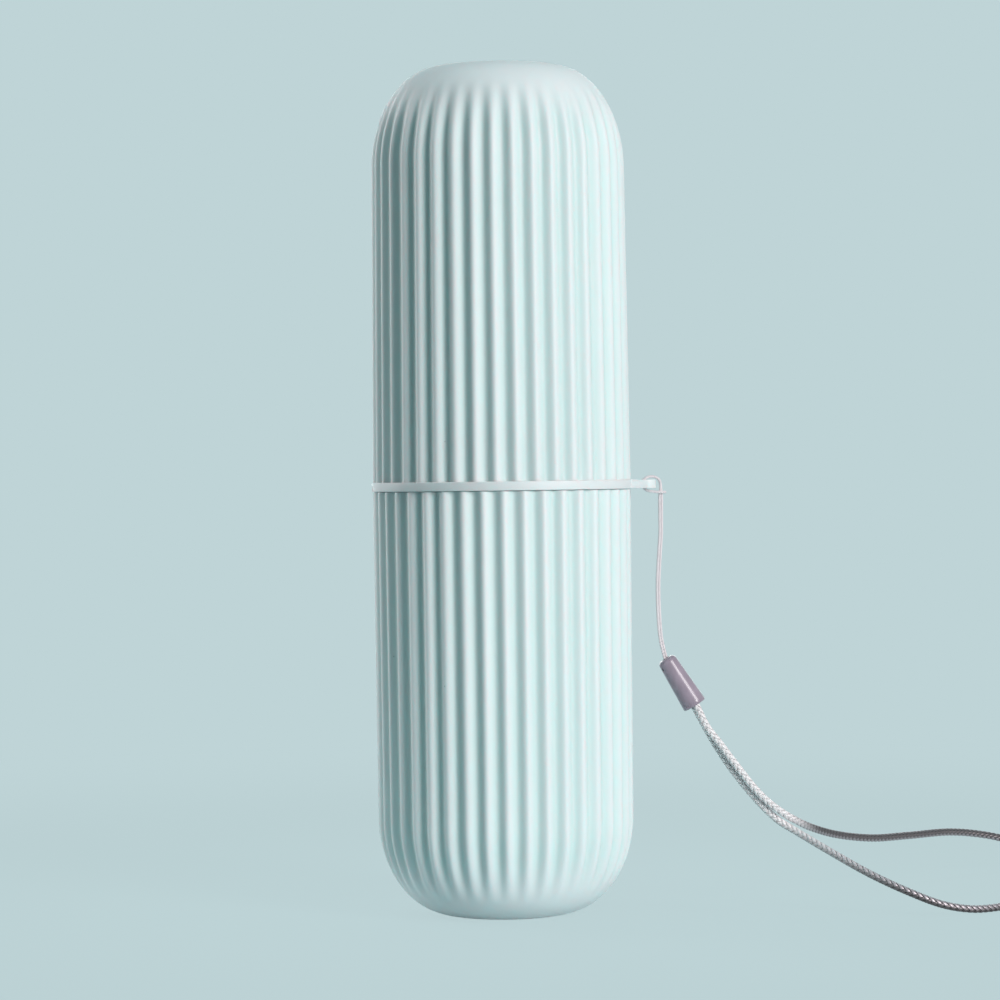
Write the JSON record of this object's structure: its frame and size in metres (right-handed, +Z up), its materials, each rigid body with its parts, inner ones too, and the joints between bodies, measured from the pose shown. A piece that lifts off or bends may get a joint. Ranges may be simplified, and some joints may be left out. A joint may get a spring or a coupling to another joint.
{
  "type": "travel toothbrush case",
  "caption": "Upright ribbed capsule case of two push-fit cups with a rim flange and lug, hung on a hitched leader, bead and braided wrist cord.",
  "frame": {"origin": "centre of the lower cup's flat foot, on the surface that the case stands on", "axes": "+Z up along the case towards the crown, +X towards the lug and the lanyard, -Y is the pictured front"},
  "size_m": [0.193, 0.1038, 0.2095],
  "materials": {
    "mint_plastic": "fine matte moulded pale mint",
    "clear_silicone": "soft milky silicone",
    "leader_yarn": "thin twisted cord, pinkish white",
    "bead_plastic": "semi-gloss grey mauve",
    "crimp_metal": "plain pressed",
    "braid_yarn": "satin silver-grey braid"
  },
  "bodies": {
    "lower_cup": {"lower_cup": "mint_plastic"},
    "seal_ring": {"seal_ring": "clear_silicone"},
    "upper_cup": {"upper_cup": "mint_plastic"},
    "lanyard": {"leader_cord": "leader_yarn", "strap_bead": "bead_plastic", "strap_crimp": "crimp_metal", "wrist_cord": "braid_yarn"}
  },
  "joints": [
    {"name": "cap_turn", "type": "hinge", "parent": "lower_cup", "child": "seal_ring", "pos_m": [0, 0, 0.1119], "axis": [0, 0, 1], "continuous": true},
    {"name": "cap_lift", "type": "slide", "parent": "seal_ring", "child": "upper_cup", "axis": [0, 0, 1], "range_m": [0, 0.11]},
    {"name": "lanyard_swing", "type": "hinge", "parent": "upper_cup", "child": "lanyard", "pos_m": [0.03715, 0, 0.1058], "axis": [0, -1, 0], "range_deg": [0, 100]}
  ]
}
